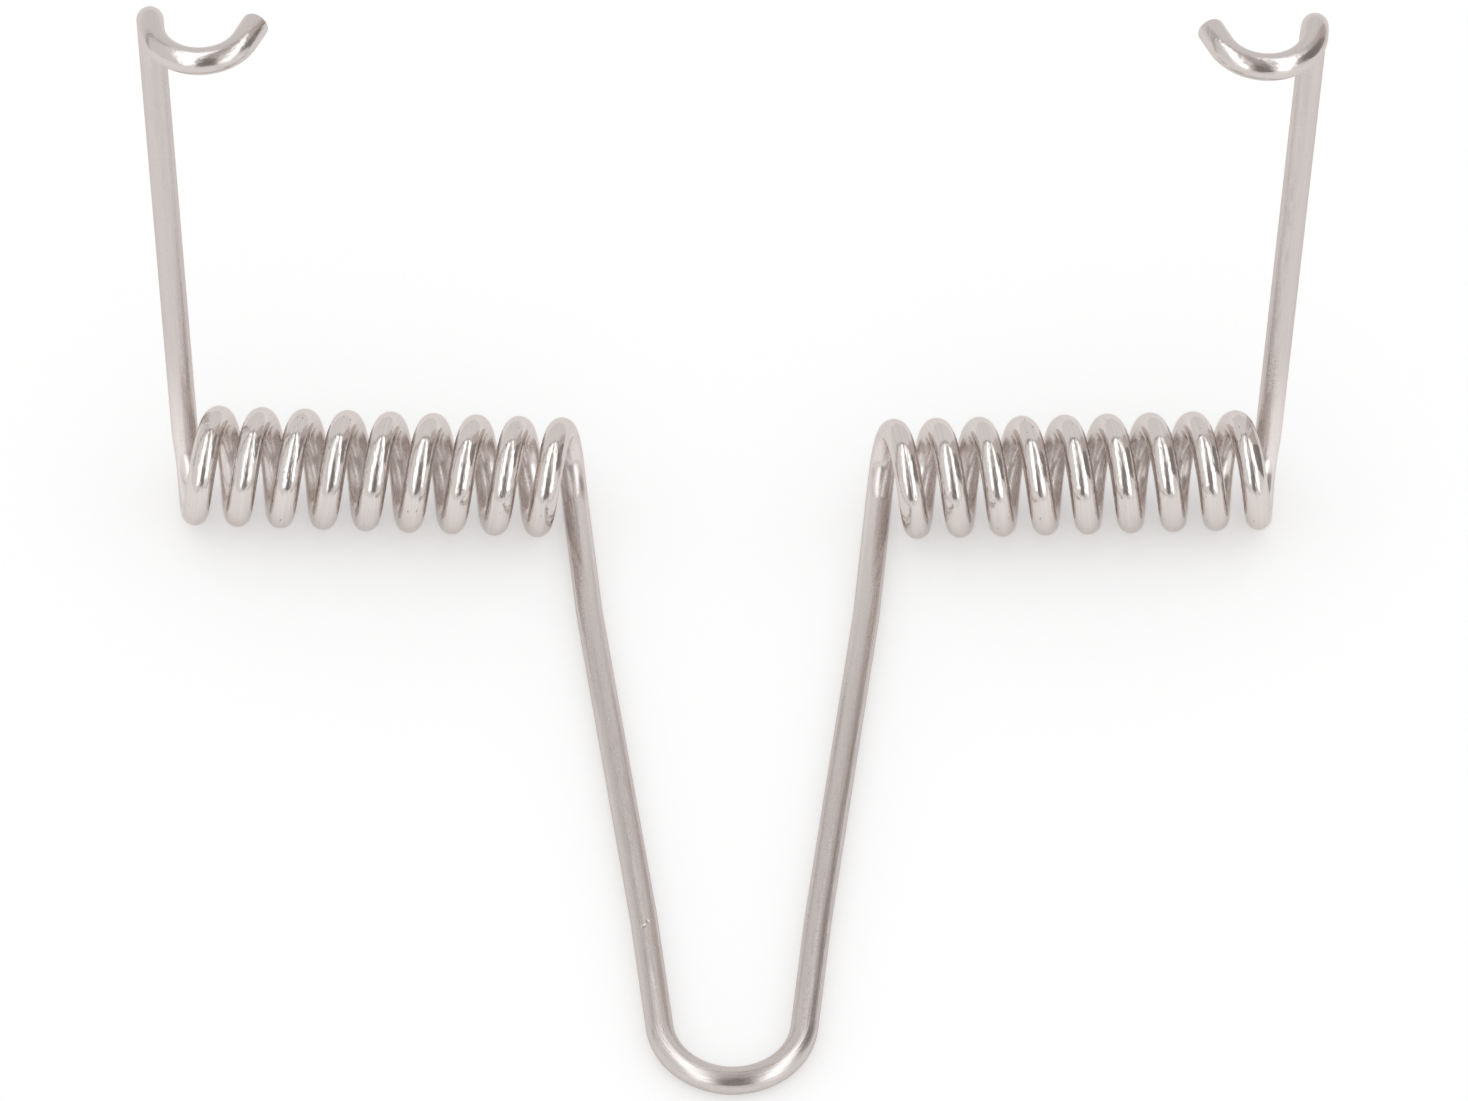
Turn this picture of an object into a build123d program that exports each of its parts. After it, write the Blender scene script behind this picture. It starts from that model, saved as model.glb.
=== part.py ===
"""Double torsion spring: two mirrored coils joined by a U-shaped bow, each with a hooked arm. Millimetres.

The spring is one length of round wire. Its right half is formed from the middle of the bow outwards,
in the order in which a wire is bent, and the left half mirrors it. The spring lies as it rests:
the bow flat and pointing to -Y, the coils along X, and the arms rising behind them.
"""
from build123d import *
import os
from math import atan, degrees, pi

# Wire
WIRE_D = 4.0
END_ROUNDING = 0.6

# Coils: the bore is a slip fit over a 10 mm tube
COIL_BORE_D = 10.2
COIL_PITCH = 6.45
WHOLE_TURNS = 9
FREE_ANGLE = 110.0          # between the bow and the arms, unloaded

# Bow, in the XY plane. A toe angle is how far a leg leans outwards on its way to the coil.
BOW_R = 10.4                # centre line of the U bend
TIP_LENGTH, TIP_TOE = 19.0, 6.7
LEG_LENGTH, LEG_TOE = 56.0, 8.2
ROOT_LENGTH, ROOT_TOE = 20.0, 6.0
SET_BEND_R = 25.0           # the slight bends that set the legs and arms straight

# Arms
ARM_LENGTH = 66.0
ARM_TOE_IN = 4.8            # sideways, from the direction in which the coil lets the arm go

# Hooks: the inside width of 10.4 mm takes a 10 mm tube
HOOK_INSIDE_D = 10.4
HOOK_WRAP = 150.0
HOOK_TAIL_LENGTH = 4.0
HOOK_ROOT_R = 4.5           # the bend from the arm into the hook
HOOK_ROOT_ANGLE = 109.5
HOOK_ROOT_TOE_IN = 6.5      # off straight forwards, towards the middle

COIL_R = (COIL_BORE_D + WIRE_D) / 2
HOOK_R = (HOOK_INSIDE_D + WIRE_D) / 2
COIL_TURNS = WHOLE_TURNS + (180 - FREE_ANGLE) / 360

INWARDS = Vector(-1, 0, 0)
OUTWARDS = Vector(1, 0, 0)
BACKWARDS = Vector(0, 1, 0)
FORWARDS = Vector(0, -1, 0)
UP = Vector(0, 0, 1)


def across(direction, heading):
    """The unit direction square to heading that is nearest to the given one."""
    return (direction - heading * direction.dot(heading)).normalized()


class FormedWire:
    """The centre line of a bent wire. Each move starts where the last one ended."""

    def __init__(self, start, heading):
        self.at = start
        self.heading = heading
        self.edges = []

    def run(self, length):
        """A straight stretch."""
        end = self.at + self.heading * length
        self.edges.append(Edge.make_line(self.at, end))
        self.at = end

    def bend(self, towards, radius, angle):
        """A round bend to the side that faces the given direction."""
        side = across(towards, self.heading)
        centre = self.at + side * radius
        axis = Axis((0, 0, 0), self.heading.cross(side))
        middle = centre - side.rotate(axis, angle / 2) * radius
        end = centre - side.rotate(axis, angle) * radius
        self.edges.append(Edge.make_three_point_arc(self.at, middle, end))
        self.at = end
        self.heading = self.heading.rotate(axis, angle)

    def coil(self, radius, pitch, turns):
        """A right-hand coil with a level axis to the wire's right. It starts at its lowest point.

        Each turn is an edge of its own, so that the swept faces stay simple.
        """
        helix_angle = degrees(atan(pitch / (2 * pi * radius)))
        axis_dir = self.heading.rotate(Axis((0, 0, 0), UP), helix_angle - 90)
        centre = self.at + UP * radius
        wound = 0
        while wound < turns:
            step = min(1, turns - wound)
            start = Plane(
                origin=centre + axis_dir * pitch * wound,
                x_dir=(-UP).rotate(Axis((0, 0, 0), axis_dir), 360 * wound),
                z_dir=axis_dir,
            )
            self.edges.append(start.location * Edge.make_helix(pitch, pitch * step, radius))
            wound += step
        self.at = self.edges[-1] @ 1
        self.heading = (self.edges[-1] % 1).normalized()


def half_wire():
    """The centre line of the right half, from the middle of the bow to the end of the hook."""
    wire = FormedWire(Vector(0, 0, WIRE_D / 2), OUTWARDS)
    wire.bend(BACKWARDS, BOW_R, 90 - TIP_TOE)
    wire.run(TIP_LENGTH)
    wire.bend(OUTWARDS, SET_BEND_R, LEG_TOE - TIP_TOE)
    wire.run(LEG_LENGTH)
    wire.bend(INWARDS, SET_BEND_R, LEG_TOE - ROOT_TOE)
    wire.run(ROOT_LENGTH)
    wire.coil(COIL_R, COIL_PITCH, COIL_TURNS)
    wire.bend(INWARDS, SET_BEND_R, ARM_TOE_IN)
    wire.run(ARM_LENGTH)
    arm_axis = Axis((0, 0, 0), wire.heading)
    hook_side = across(FORWARDS, wire.heading).rotate(arm_axis, -HOOK_ROOT_TOE_IN)
    wire.bend(hook_side, HOOK_ROOT_R, HOOK_ROOT_ANGLE)
    wire.bend(INWARDS, HOOK_R, HOOK_WRAP)
    wire.run(HOOK_TAIL_LENGTH)
    return Wire(wire.edges)


def half_spring():
    """The right half as a solid, with the wire's cut end rounded off."""
    path = half_wire()
    section = Plane(origin=path @ 0, z_dir=path % 0) * Circle(WIRE_D / 2)
    solid = sweep(section, path=path)
    cut_end = solid.edges().filter_by(GeomType.CIRCLE).sort_by_distance(path @ 1)[0]
    return fillet(cut_end, END_ROUNDING)


def spring_wire():
    """The whole spring, standing on the XY plane with the middle of its box over the origin."""
    right = half_spring()
    whole = right + mirror(right, Plane.YZ)
    box = whole.bounding_box()
    return Pos(0, -(box.min.Y + box.max.Y) / 2, 0) * whole


os.makedirs("parts", exist_ok=True)
export_step(spring_wire(), "parts/spring_wire.step")
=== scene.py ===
"""The double torsion spring's looks: drawn stainless wire, formed ring by ring, on a pale floor. Metres."""

from functools import reduce
from math import atan, atan2, ceil, pi, radians, tau

import bmesh
import bpy
from mathutils import Matrix, Vector


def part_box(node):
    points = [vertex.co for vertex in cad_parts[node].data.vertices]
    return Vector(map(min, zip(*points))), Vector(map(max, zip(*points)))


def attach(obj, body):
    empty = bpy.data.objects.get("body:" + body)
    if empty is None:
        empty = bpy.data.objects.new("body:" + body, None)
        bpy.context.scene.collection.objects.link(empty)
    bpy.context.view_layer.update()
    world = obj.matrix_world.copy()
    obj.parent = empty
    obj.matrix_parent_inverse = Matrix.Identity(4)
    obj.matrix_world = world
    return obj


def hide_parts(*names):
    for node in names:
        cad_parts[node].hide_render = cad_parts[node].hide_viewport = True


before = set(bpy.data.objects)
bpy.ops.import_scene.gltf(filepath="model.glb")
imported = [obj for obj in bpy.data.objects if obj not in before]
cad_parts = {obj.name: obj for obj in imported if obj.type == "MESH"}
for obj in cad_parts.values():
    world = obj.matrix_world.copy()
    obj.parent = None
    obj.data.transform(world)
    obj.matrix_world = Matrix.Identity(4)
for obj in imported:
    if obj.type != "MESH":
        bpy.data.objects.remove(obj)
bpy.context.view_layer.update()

MM = 0.001

# Wire
WIRE_D = 4.0 * MM
END_ROUNDING = 0.6 * MM

# Coils
COIL_BORE_D = 10.2 * MM
COIL_PITCH = 6.45 * MM
WHOLE_TURNS = 9
FREE_ANGLE = radians(110)

# Bow: the legs' toe angles lean outwards on their way to the coils
BOW_R = 10.4 * MM
TIP_LENGTH, TIP_TOE = 19.0 * MM, radians(6.7)
LEG_LENGTH, LEG_TOE = 56.0 * MM, radians(8.2)
ROOT_LENGTH, ROOT_TOE = 20.0 * MM, radians(6.0)
SET_BEND_R = 25.0 * MM

# Arms and hooks
ARM_LENGTH = 66.0 * MM
ARM_TOE_IN = radians(4.8)
HOOK_INSIDE_D = 10.4 * MM
HOOK_WRAP = radians(150)
HOOK_TAIL_LENGTH = 4.0 * MM
HOOK_ROOT_R = 4.5 * MM
HOOK_ROOT_ANGLE = radians(109.5)
HOOK_ROOT_TOE_IN = radians(6.5)

COIL_R = (COIL_BORE_D + WIRE_D) / 2
HOOK_R = (HOOK_INSIDE_D + WIRE_D) / 2
COIL_TURN = WHOLE_TURNS * tau + pi - FREE_ANGLE

# Mesh fineness
WIRE_SIDES = 48
BEND_STEP = radians(5)
COIL_STEP = tau / 64
RUN_STEP = 5.0 * MM
END_SEGMENTS = 6
END_FACE_INSET = 0.3 * MM
SEAM_GAP = 0.01 * MM

# Camera: the point it looks at, how far from there it stands, its turns, and its lens in millimetres
CAMERA_AIM = Vector((0.99, 27.63, 2.41)) * MM
CAMERA_DISTANCE = 1.05
CAMERA_ELEVATION = radians(50.85)
CAMERA_YAW = radians(-1.655)
CAMERA_ROLL = radians(1.527)
CAMERA_LENS = 171.2

INWARDS = Vector((-1, 0, 0))
OUTWARDS = Vector((1, 0, 0))
BACKWARDS = Vector((0, 1, 0))
FORWARDS = Vector((0, -1, 0))
UP = Vector((0, 0, 1))

# The skin's own maps: each point's place on the straight wire, and the skin slit open along its length
# and cut into strips that share one square. An angle on them is a share of a turn.
STRAIGHT_WIRE = "straight_wire"
STRIP_MAP = "OFBake"
STRIPS = 10
STRIP_MARGIN = 0.004
HALF_TURN = 0.5

# Steel colours
STEEL_LIGHT = (0.725, 0.672, 0.652, 1)
STEEL_DEEP = (0.670, 0.614, 0.592, 1)
STEEL_WARM = (0.710, 0.646, 0.604, 1)
STEEL_SCUFFED = (0.440, 0.398, 0.380, 1)
STEEL_FILMED = (0.600, 0.545, 0.525, 1)
STEEL_PITTED = (0.400, 0.360, 0.340, 1)
STEEL_FRESH = (0.920, 0.900, 0.880, 1)
# Painted light: a brighter steel laid on the coils' inner side to lift the shaded valleys between the turns
STEEL_VALLEY_LIGHT = (0.920, 0.855, 0.828, 1)
EDGE_SHADE = (0.85, 0.82, 0.80, 1)

# Grain of the drawn skin: width around the wire, length along it, detail
WAVES = (1.4 * MM, 10.0 * MM, 1)
DIE_LINES = (0.25 * MM, 12.0 * MM, 2)
TICKS = (0.35 * MM, 0.8 * MM, 1)
CLOUDS = (3.0 * MM, 16.0 * MM, 2)
DASHES = (0.5 * MM, 3.0 * MM, 2)
PITS = (0.35 * MM, 0.7 * MM, 0)
CHATTER = (4.0 * MM, 0.16 * MM, 1)
TOOL_GRAIN = (0.45 * MM, 0.45 * MM, 2)

# Where a grain starts to show, and where it shows in full
DIE_LINE_EDGE = (0.35, 0.65)
CLOUD_EDGE = (0.4, 0.8)
DASH_EDGE = (0.3, 0.7)
SCUFF_EDGE = (0.45, 0.6)
SCUFF_LINE_EDGE = (0.4, 0.6)
PIT_EDGE = (0.82, 0.86)

# Relief: depths, and the shares of the die lines left on coils and of the ticks left on drawn lengths
WAVE_DEPTH = 0.07 * MM
DIE_LINE_DEPTH = 0.045 * MM
TICK_DEPTH = 0.032 * MM
TOOL_MARK_DEPTH = 0.25 * MM
NICK_DEPTH = -0.12 * MM
CHATTER_DEPTH = 0.04 * MM
COIL_DIE_LINES = 0.35
DRAWN_TICKS = 0.2

# Roughness: its range over the dashes, and what each kind of place adds
POLISH = (0.12, 0.19)
DULL_EXTRA = 0.13
HOOK_EXTRA = 0.06
MANDREL_EXTRA = 0.12

# The mandrel has burnished the coils' inner side, which faces +Y on the straight wire: where that side
# begins and is full, the share of relief left there, and the strength of the brighter colour: painted light
# that lifts the shaded valleys between the turns
MANDREL_SIDE = (0.1 * WIRE_D, 0.35 * WIRE_D)
MANDREL_LEAVES = 0.05
VALLEY_LIGHT_PAINT = 0.5

# Drawing leaves a film, worn thinner on the hooks: the strength of its colour
DRAWN_FILM = 0.7
HOOK_FILM = 0.45

# Highlights smear across the wire: the shine's strength that way, and a quarter turn off its length
SMEAR = 0.6
QUARTER = 0.25

# Patches of the skin, by their place on the straight wire: distance from the bow's middle (left is
# negative), angle around, length and width. A patch is full up to its core's share of the way out.
PATCH_CORE = 0.3
ALL_ROUND = 60.0 * MM
NICKS = (
    (-32.4 * MM, radians(79), 0.9 * MM, 0.7 * MM),
    (-31.7 * MM, radians(100), 0.7 * MM, 0.9 * MM),
)
TOOL_MARKS = (
    (-493.4 * MM, radians(-116), 5.0 * MM, 2.8 * MM),
    (492.0 * MM, radians(-139), 6.0 * MM, 2.8 * MM),
)
CHATTERED = (538.0 * MM, radians(72), 22.0 * MM, 4.5 * MM)
DRAWN_LENGTHS = (
    (0, 0, 340.0 * MM, ALL_ROUND),
    (-567.0 * MM, 0, 100.0 * MM, ALL_ROUND),
    (567.0 * MM, 0, 100.0 * MM, ALL_ROUND),
)
HOOKS = (
    (-612.0 * MM, 0, 60.0 * MM, ALL_ROUND),
    (612.0 * MM, 0, 60.0 * MM, ALL_ROUND),
)
RUBBED_PLACES = (
    (30.0 * MM, radians(139), 32.0 * MM, 2.6 * MM),
    (-26.0 * MM, radians(100), 22.0 * MM, 2.2 * MM),
    (-60.0 * MM, radians(80), 30.0 * MM, 1.6 * MM),
    (560.0 * MM, radians(60), 40.0 * MM, 2.0 * MM),
)

# Studio: a light level of 1 shows white as white
STUDIO_CENTRE = Vector((0, 20, 10)) * MM
WHITE = (1, 1, 1, 1)
ROOM_LEVEL = 0.85
FLOOR_SIZE = 8.0
FLOOR_PALE = (0.8, 0.8, 0.8, 1)
FLOOR_LIFT = 0.33
CARD_WHITE = (0.96, 1, 1.02, 1)
CARD_WARM = (1, 0.91, 0.86, 1)
SOFTBOX_LEVEL = 2.0

# Sheets that stand about the spring: four corners from the studio's centre, colour and light level
CARDS = {
    "softbox_left": (
        (-0.33, -0.50, 0.09), (-0.18, -0.54, 0.18), (-0.02, 0.30, 0.52), (-0.14, 0.29, 0.50),
        CARD_WHITE, SOFTBOX_LEVEL,
    ),
    "softbox_right": (
        (0.24, -0.52, 0.17), (0.42, -0.44, 0.04), (0.16, 0.30, 0.50), (0.08, 0.31, 0.51),
        CARD_WHITE, SOFTBOX_LEVEL,
    ),
    "dark_card_front": (
        (-0.16, -0.57, 0.07), (0.20, -0.56, 0.06), (0.11, -0.20, 0.56), (-0.05, -0.20, 0.57),
        CARD_WARM, 0.25,
    ),
    "grey_card_over": (
        (-0.05, -0.20, 0.57), (0.11, -0.20, 0.56), (0.08, 0.31, 0.51), (-0.03, 0.30, 0.52),
        CARD_WARM, 0.5,
    ),
    "dark_card_right": (
        (0.40, -0.24, 0.38), (0.60, 0.00, 0.01), (0.52, 0.30, 0.01), (0.36, 0.16, 0.45),
        CARD_WARM, 0.26,
    ),
    "grey_card_right": (
        (0.36, 0.16, 0.45), (0.52, 0.30, 0.01), (0.41, 0.44, 0.01), (0.26, 0.29, 0.46),
        CARD_WARM, 0.6,
    ),
}

# The rim of the light tent
HOOP_R = 0.62
HOOP_WIDTH = 0.045
HOOP_SIDES = 96
HOOP_LEAN = radians(60)
HOOP_LEVEL = 0.3


def across(direction, heading):
    """The unit direction square to heading that is nearest to the given one."""
    return (direction - heading * direction.dot(heading)).normalized()


def turned(angle, axis, centre):
    """The turn by an angle about an axis through a centre."""
    return Matrix.Translation(centre) @ Matrix.Rotation(angle, 4, axis) @ Matrix.Translation(-centre)


class FormedWire:
    """A wire's skin in an empty bmesh, grown from its start as the wire is fed and bent.

    Each vertex keeps its place on the wire as it was before bending, along +Z, so that the drawn
    finish follows every bend. The tip is the frame of the last ring: its Z axis is the wire's heading.
    """

    def __init__(self, bm, start, heading):
        self.bm = bm
        self.fed = 0
        self.tip = Matrix.Translation(start) @ heading.to_track_quat("Z", "Y").to_matrix().to_4x4()
        self.straight = bm.verts.layers.float_vector.new(STRAIGHT_WIRE)
        ring = bmesh.ops.create_circle(bm, segments=WIRE_SIDES, radius=WIRE_D / 2, matrix=self.tip)["verts"]
        self.mark_straight(ring)
        self.rim = bm.edges[:]

    @property
    def at(self):
        return self.tip.translation.copy()

    @property
    def heading(self):
        return self.tip.col[2].xyz.normalized()

    def mark_straight(self, verts):
        """Notes where the tip's vertices lie on the straight wire."""
        to_straight = Matrix.Translation((0, 0, self.fed)) @ self.tip.inverted()
        for vert in verts:
            vert[self.straight] = to_straight @ vert.co

    def spin(self, length, steps, angle, axis, centre, shift=Vector()):
        """Feeds a length of wire, as rings that turn about an axis and shift along it."""
        grown = len(self.bm.verts)
        last = bmesh.ops.spin(
            self.bm, geom=self.rim, cent=centre, axis=axis, dvec=shift / steps,
            angle=angle, steps=steps, use_duplicate=False,
        )["geom_last"]
        self.rim = [item for item in last if isinstance(item, bmesh.types.BMEdge) and item.is_boundary]
        self.bm.verts.ensure_lookup_table()
        # A new ring holds the old rim's place, so it is moved on by its own number of steps
        for number, vert in enumerate(self.bm.verts[grown:]):
            vert[self.straight] += UP * length / steps * (number // WIRE_SIDES + 1)
        self.tip = Matrix.Translation(shift) @ turned(angle, axis, centre) @ self.tip
        self.fed += length

    def run(self, length):
        """A straight stretch."""
        self.spin(length, ceil(length / RUN_STEP), 0, self.heading, self.at, self.heading * length)

    def bend(self, towards, radius, angle):
        """A round bend to the side that faces the given direction."""
        side = across(towards, self.heading)
        axis = self.heading.cross(side)
        self.spin(radius * angle, ceil(angle / BEND_STEP), angle, axis, self.at + side * radius)

    def coil(self, radius, pitch, angle):
        """A right-hand coil with a level axis to the wire's right. It starts at its lowest point."""
        rise = pitch / tau
        axis = Matrix.Rotation(atan(rise / radius) - pi / 2, 3, UP) @ self.heading
        length = angle * (radius**2 + rise**2) ** 0.5
        self.spin(length, ceil(angle / COIL_STEP), angle, axis, self.at + UP * radius, axis * rise * angle)

    def cut(self):
        """The cut end, with its edge rounded off."""
        bmesh.ops.contextual_create(self.bm, geom=self.rim)
        rounded = bmesh.ops.bevel(
            self.bm, geom=self.rim, offset=END_ROUNDING, segments=END_SEGMENTS,
            profile=0.5, affect="EDGES", material=-1,
        )["verts"]
        faces = {face for vert in rounded for face in vert.link_faces}
        end_face = max(faces, key=lambda face: len(face.verts))
        bmesh.ops.inset_region(self.bm, faces=[end_face], thickness=END_FACE_INSET)
        self.mark_straight({*rounded, *end_face.verts})


def spring_wire(low):
    """The whole spring as one closed piece, with the lowest corner of its box at low in Y and Z."""
    bm = bmesh.new()
    wire = FormedWire(bm, Vector((0, low.y + WIRE_D / 2, low.z + WIRE_D / 2)), OUTWARDS)
    wire.bend(BACKWARDS, BOW_R, pi / 2 - TIP_TOE)
    wire.run(TIP_LENGTH)
    wire.bend(OUTWARDS, SET_BEND_R, LEG_TOE - TIP_TOE)
    wire.run(LEG_LENGTH)
    wire.bend(INWARDS, SET_BEND_R, LEG_TOE - ROOT_TOE)
    wire.run(ROOT_LENGTH)
    wire.coil(COIL_R, COIL_PITCH, COIL_TURN)
    wire.bend(INWARDS, SET_BEND_R, ARM_TOE_IN)
    wire.run(ARM_LENGTH)
    hook_side = Matrix.Rotation(-HOOK_ROOT_TOE_IN, 3, wire.heading) @ across(FORWARDS, wire.heading)
    wire.bend(hook_side, HOOK_ROOT_R, HOOK_ROOT_ANGLE)
    wire.bend(INWARDS, HOOK_R, HOOK_WRAP)
    wire.run(HOOK_TAIL_LENGTH)
    wire.cut()

    half = bm.verts[:] + bm.edges[:] + bm.faces[:]
    bmesh.ops.mirror(bm, geom=half, matrix=Matrix(), merge_dist=SEAM_GAP, axis="X")
    for vert in bm.verts:
        if vert.co.x < 0:
            vert[wire.straight].z *= -1
    bmesh.ops.recalc_face_normals(bm, faces=bm.faces)
    lay_out_strips(bm, wire)

    mesh = bpy.data.meshes.new("spring_wire_drawn")
    bm.to_mesh(mesh)
    bm.free()
    mesh.shade_smooth()
    piece = bpy.data.objects.new("spring_wire_drawn", mesh)
    bpy.context.scene.collection.objects.link(piece)
    return piece


def lay_out_strips(bm, wire):
    """A UV map of the wire's skin, slit along its length and cut into strips that share one square."""
    uv_layer = bm.loops.layers.uv.new(STRIP_MAP)
    strip_length = 2 * wire.fed / STRIPS
    strip_width = 1 / STRIPS
    for face in bm.faces:
        places = [loop.vert[wire.straight] for loop in face.loops]
        angles = [atan2(place.y, place.x) / tau % 1 for place in places]
        crosses_slit = max(angles) - min(angles) > HALF_TURN
        strip = int((sum(place.z for place in places) / len(places) + wire.fed) / strip_length)
        strip = min(strip, STRIPS - 1)
        for loop, place, angle in zip(face.loops, places, angles):
            if crosses_slit and angle < HALF_TURN:
                angle += 1
            along = (place.z + wire.fed) / strip_length - strip
            loop[uv_layer].uv = (
                STRIP_MARGIN + along * (1 - 2 * STRIP_MARGIN),
                strip * strip_width + STRIP_MARGIN + angle * (strip_width - 2 * STRIP_MARGIN),
            )


class Finish:
    """A new material, and the calls that make and link its nodes."""

    def __init__(self, name):
        self.material = bpy.data.materials.new(name)
        self.material.use_nodes = True
        self.tree = self.material.node_tree

    def fill(self, node, settings):
        """Gives each named socket of a node a value, or links it to another socket."""
        for name, value in settings.items():
            if isinstance(value, bpy.types.NodeSocket):
                self.tree.links.new(value, node.inputs[name])
            else:
                node.inputs[name].default_value = value

    def node(self, kind, settings, **properties):
        """A new node with its properties and sockets set."""
        node = self.tree.nodes.new(kind)
        for name, value in properties.items():
            setattr(node, name, value)
        self.fill(node, settings)
        return node

    def both(self, first, second):
        """One mask where two masks meet, or a mask scaled by a number."""
        return self.node("ShaderNodeMath", {0: first, 1: second}, operation="MULTIPLY").outputs[0]

    def either(self, first, second):
        """One mask that covers what two masks cover."""
        return self.node("ShaderNodeMath", {0: first, 1: second}, operation="MAXIMUM").outputs[0]

    def plus(self, first, second):
        """The sum of two values."""
        return self.node("ShaderNodeMath", {0: first, 1: second}, operation="ADD").outputs[0]

    def shade(self, settings):
        """Sets sockets of the surface's own shader."""
        self.fill(self.tree.nodes["Principled BSDF"], settings)


class DrawnFinish(Finish):
    """A material whose patterns lie on the straight wire and follow it through every bend."""

    # Numbers of the Mix node's colour sockets, as its other kinds of socket have the same names
    MIX_UNDER, MIX_OVER, MIX_RESULT = 6, 7, 2

    def __init__(self, name):
        super().__init__(name)
        self.wire = self.node("ShaderNodeAttribute", {}, attribute_name=STRAIGHT_WIRE).outputs["Vector"]
        self.normal = None

    def grain(self, around, along, detail):
        """Noise with marks of a width around the wire and a length along it."""
        scale = (1 / around, 1 / around, 1 / along)
        place = self.node("ShaderNodeMapping", {"Vector": self.wire, "Scale": scale}).outputs[0]
        return self.node("ShaderNodeTexNoise", {"Vector": place, "Scale": 1, "Detail": detail}).outputs[0]

    def between(self, value, low, high, to_low=0.0, to_high=1.0):
        """A value's soft change from to_low to to_high as it goes from low to high."""
        settings = {"Value": value, "From Min": low, "From Max": high, "To Min": to_low, "To Max": to_high}
        return self.node("ShaderNodeMapRange", settings, interpolation_type="SMOOTHSTEP").outputs[0]

    def switched(self, mask, off, on):
        """A value that is one number off the mask and another on it."""
        return self.between(mask, 0, 1, off, on)

    def tinted(self, mask, colour, tint):
        """A colour with a tint laid over it where the mask is."""
        settings = {"Factor": mask, self.MIX_UNDER: colour, self.MIX_OVER: tint}
        return self.node("ShaderNodeMix", settings, data_type="RGBA").outputs[self.MIX_RESULT]

    def patch(self, along, around, length, width):
        """A mask of one round or long patch of the skin, soft at its edge."""
        centre = Matrix.Rotation(around, 3, "Z") @ Vector((WIRE_D / 2, 0, along))
        size = (width / 2, width / 2, length / 2)
        settings = {"Vector": self.wire, "Location": centre, "Scale": size}
        place = self.node("ShaderNodeMapping", settings, vector_type="TEXTURE").outputs[0]
        far = self.node("ShaderNodeVectorMath", {0: place}, operation="LENGTH").outputs["Value"]
        return self.between(far, PATCH_CORE, 1, 1, 0)

    def patches(self, places):
        """One mask of several patches."""
        return reduce(self.either, [self.patch(*place) for place in places])

    def relief(self, height, depth):
        """Adds a height map of the given depth to the skin's relief."""
        settings = {"Height": height, "Distance": depth}
        if self.normal:
            settings["Normal"] = self.normal
        self.normal = self.node("ShaderNodeBump", settings).outputs[0]


def spring_steel():
    """Bright drawn stainless wire, with die lines, tool marks at its bends, nicks and rubbed places."""
    finish = DrawnFinish("spring_steel")
    die_lines = finish.grain(*DIE_LINES)
    dashes = finish.grain(*DASHES)
    clouds = finish.between(finish.grain(*CLOUDS), *CLOUD_EDGE)
    pits = finish.between(finish.grain(*PITS), *PIT_EDGE)

    drawn = finish.patches(DRAWN_LENGTHS)
    hooks = finish.patches(HOOKS)
    tool_marks = finish.patches(TOOL_MARKS)
    nicks = finish.patches(NICKS)
    scuffed = finish.both(finish.patches(RUBBED_PLACES), finish.between(dashes, *SCUFF_EDGE))
    towards_inside = finish.node("ShaderNodeSeparateXYZ", {"Vector": finish.wire}).outputs["Y"]
    # The coils' inner side: rougher and with less relief, and given a brighter colour that is painted light
    # in the shaded valleys between the turns
    burnished_and_lit = finish.both(finish.between(towards_inside, *MANDREL_SIDE), finish.switched(drawn, 1, 0))
    filmed = finish.either(finish.switched(drawn, 0, DRAWN_FILM), finish.switched(hooks, 0, HOOK_FILM))

    colour = STEEL_LIGHT
    for mask, tint in (
        (finish.between(die_lines, *DIE_LINE_EDGE), STEEL_DEEP),
        (clouds, STEEL_WARM),
        (finish.both(scuffed, finish.between(die_lines, *SCUFF_LINE_EDGE)), STEEL_SCUFFED),
        (pits, STEEL_PITTED),
        (nicks, STEEL_FRESH),
        (filmed, STEEL_FILMED),
        # painted light on the coils' inner side, brightening the valleys between the turns
        (finish.switched(burnished_and_lit, 0, VALLEY_LIGHT_PAINT), STEEL_VALLEY_LIGHT),
    ):
        colour = finish.tinted(mask, colour, tint)

    roughness = finish.between(dashes, *DASH_EDGE, *POLISH)
    dull = finish.either(scuffed, finish.either(tool_marks, drawn))
    for mask, extra in ((dull, DULL_EXTRA), (burnished_and_lit, MANDREL_EXTRA), (hooks, HOOK_EXTRA)):
        roughness = finish.plus(roughness, finish.switched(mask, 0, extra))

    spared = finish.switched(burnished_and_lit, 1, MANDREL_LEAVES)
    lined = finish.both(spared, finish.switched(drawn, COIL_DIE_LINES, 1))
    ticked = finish.both(spared, finish.switched(drawn, 1, DRAWN_TICKS))
    for height, depth in (
        (finish.both(spared, finish.grain(*WAVES)), WAVE_DEPTH),
        (finish.both(lined, die_lines), DIE_LINE_DEPTH),
        (finish.both(ticked, finish.grain(*TICKS)), TICK_DEPTH),
        (finish.both(tool_marks, finish.grain(*TOOL_GRAIN)), TOOL_MARK_DEPTH),
        (nicks, NICK_DEPTH),
        (finish.both(finish.patch(*CHATTERED), finish.grain(*CHATTER)), CHATTER_DEPTH),
    ):
        finish.relief(height, depth)

    tangent = finish.node("ShaderNodeTangent", {}, direction_type="UV_MAP", uv_map=STRIP_MAP).outputs[0]
    finish.shade({
        "Metallic": 1,
        "Specular Tint": EDGE_SHADE,
        "Anisotropic": SMEAR,
        "Anisotropic Rotation": QUARTER,
        "Tangent": tangent,
        "Base Color": colour,
        "Roughness": roughness,
        "Normal": finish.normal,
    })
    return finish.material


def glow(name, colour, level):
    """A material that only gives off light."""
    light = Finish(name)
    nodes = light.tree.nodes
    nodes.remove(nodes["Principled BSDF"])
    emission = light.node("ShaderNodeEmission", {"Color": colour, "Strength": level})
    light.fill(nodes["Material Output"], {"Surface": emission.outputs[0]})
    return light.material


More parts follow.
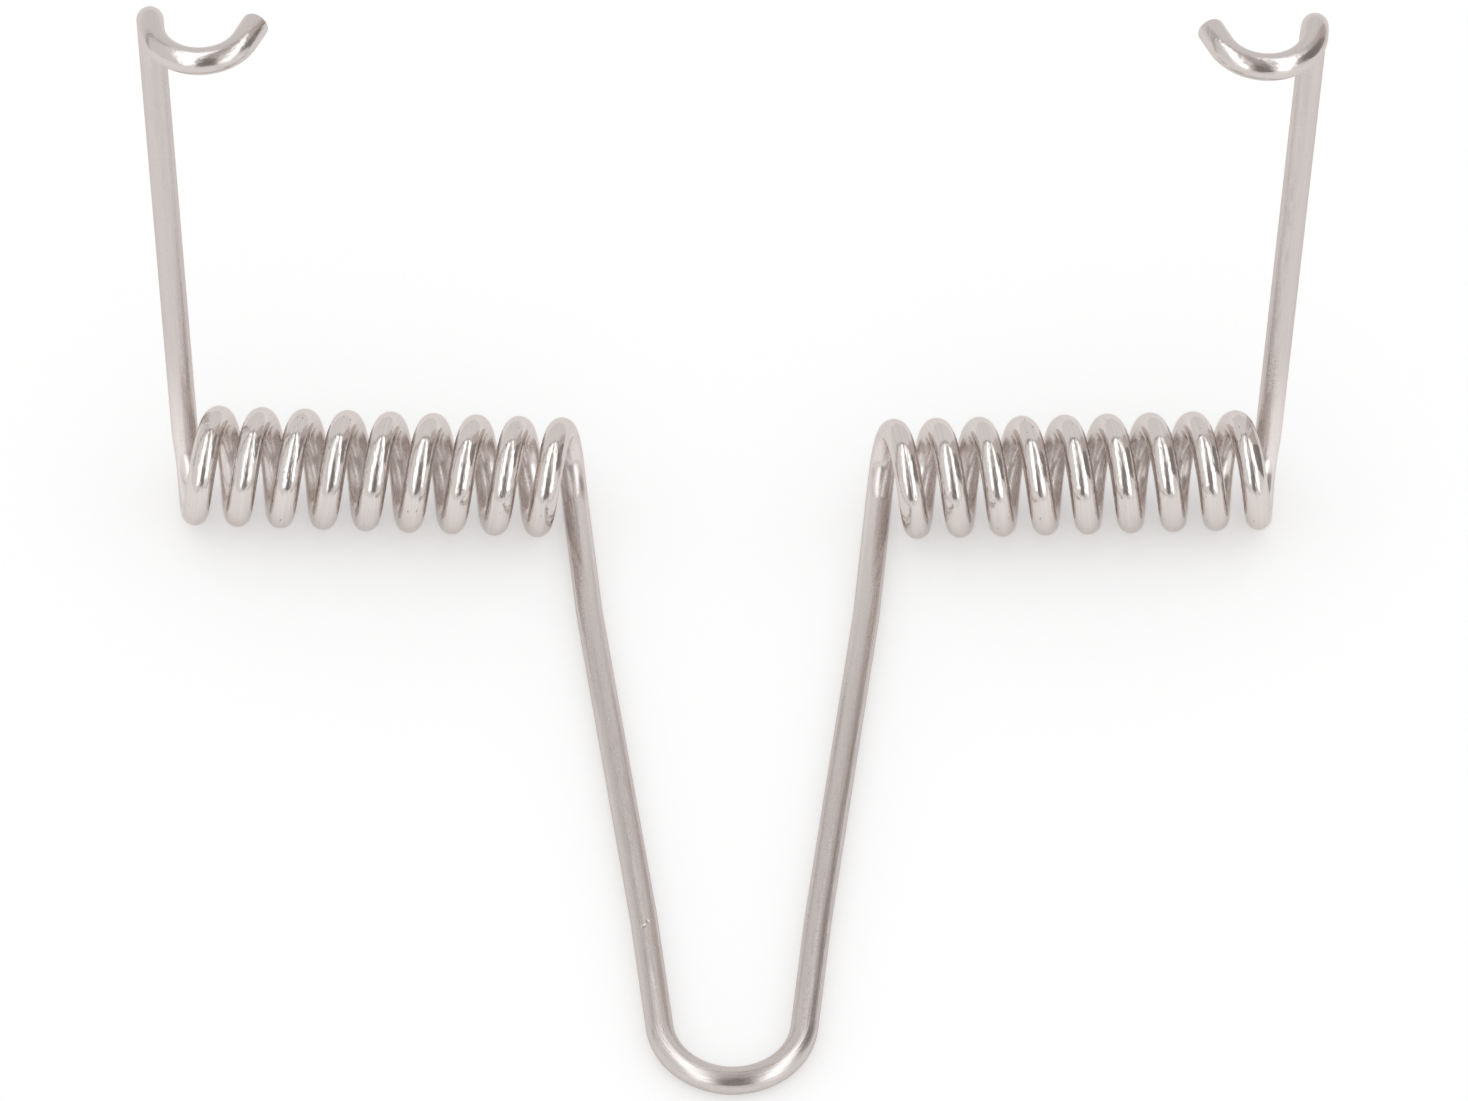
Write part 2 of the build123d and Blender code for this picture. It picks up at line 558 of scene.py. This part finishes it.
def stand(name, bm, material):
    """Sets a mesh up as part of the studio."""
    mesh = bpy.data.meshes.new(name)
    bm.to_mesh(mesh)
    bm.free()
    mesh.materials.append(material)
    item = bpy.data.objects.new(name, mesh)
    bpy.context.scene.collection.objects.link(item)
    return item


def only_in_reflections(item):
    """Leaves a thing of the studio to be seen in the steel alone. It casts no shadow."""
    item.visible_camera = item.visible_diffuse = item.visible_shadow = False


def card(name, corners, colour, level):
    """A sheet that stands about the spring and shows only in its steel."""
    bm = bmesh.new()
    bm.faces.new([bm.verts.new(STUDIO_CENTRE + Vector(corner)) for corner in corners])
    only_in_reflections(stand(name, bm, glow(name, colour, level)))


def hoop():
    """The dark rim of the light tent, which arches over the spring from left to right."""
    bm = bmesh.new()
    lean = Matrix.Translation(STUDIO_CENTRE) @ Matrix.Rotation(HOOP_LEAN, 4, "X")
    bmesh.ops.create_circle(bm, segments=HOOP_SIDES, radius=HOOP_R, matrix=lean)
    band = bmesh.ops.extrude_edge_only(bm, edges=bm.edges[:])["geom"]
    far_side = [item for item in band if isinstance(item, bmesh.types.BMVert)]
    bmesh.ops.translate(bm, verts=far_side, vec=lean.col[2].xyz * -HOOP_WIDTH)
    only_in_reflections(stand("tent_rim", bm, glow("tent_rim", CARD_WARM, HOOP_LEVEL)))


def floor():
    """A pale floor that keeps the spring's shadow and is lifted to white where it is seen or mirrored."""
    bm = bmesh.new()
    bmesh.ops.create_grid(bm, x_segments=1, y_segments=1, size=FLOOR_SIZE / 2)
    finish = Finish("floor")
    rays = finish.node("ShaderNodeLightPath", {}).outputs
    seen = reduce(finish.either, [rays[f"Is {kind} Ray"] for kind in ("Camera", "Glossy", "Transmission")])
    finish.shade({
        "Base Color": FLOOR_PALE,
        "Roughness": 1,
        "Specular IOR Level": 0,
        "Emission Color": WHITE,
        "Emission Strength": finish.both(seen, FLOOR_LIFT),
    })
    stand("floor", bm, finish.material)


def room():
    """The white room about the studio."""
    world = bpy.data.worlds.new("room")
    bpy.context.scene.world = world
    world.use_nodes = True
    background = world.node_tree.nodes["Background"]
    background.inputs["Color"].default_value = WHITE
    background.inputs["Strength"].default_value = ROOM_LEVEL


def studio():
    """A white room with two long softboxes over the spring, and dark cards for contrast in the steel."""
    floor()
    for name, (*corners, colour, level) in CARDS.items():
        card(name, corners, colour, level)
    hoop()
    room()


def camera():
    """The camera, looking down at the spring from in front."""
    data = bpy.data.cameras.new("camera")
    data.lens = CAMERA_LENS
    eye = bpy.data.objects.new("camera", data)
    turn = (
        Matrix.Rotation(CAMERA_YAW, 4, "Z")
        @ Matrix.Rotation(pi / 2 - CAMERA_ELEVATION, 4, "X")
        @ Matrix.Rotation(CAMERA_ROLL, 4, "Z")
    )
    eye.matrix_world = Matrix.Translation(CAMERA_AIM) @ turn @ Matrix.Translation((0, 0, CAMERA_DISTANCE))
    bpy.context.scene.collection.objects.link(eye)
    bpy.context.scene.camera = eye


low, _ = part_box("spring_wire")
spring = spring_wire(low)
spring.data.materials.append(spring_steel())
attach(spring, "root")
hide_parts("spring_wire")
camera()
studio()
bpy.context.scene.view_settings.view_transform = "Standard"
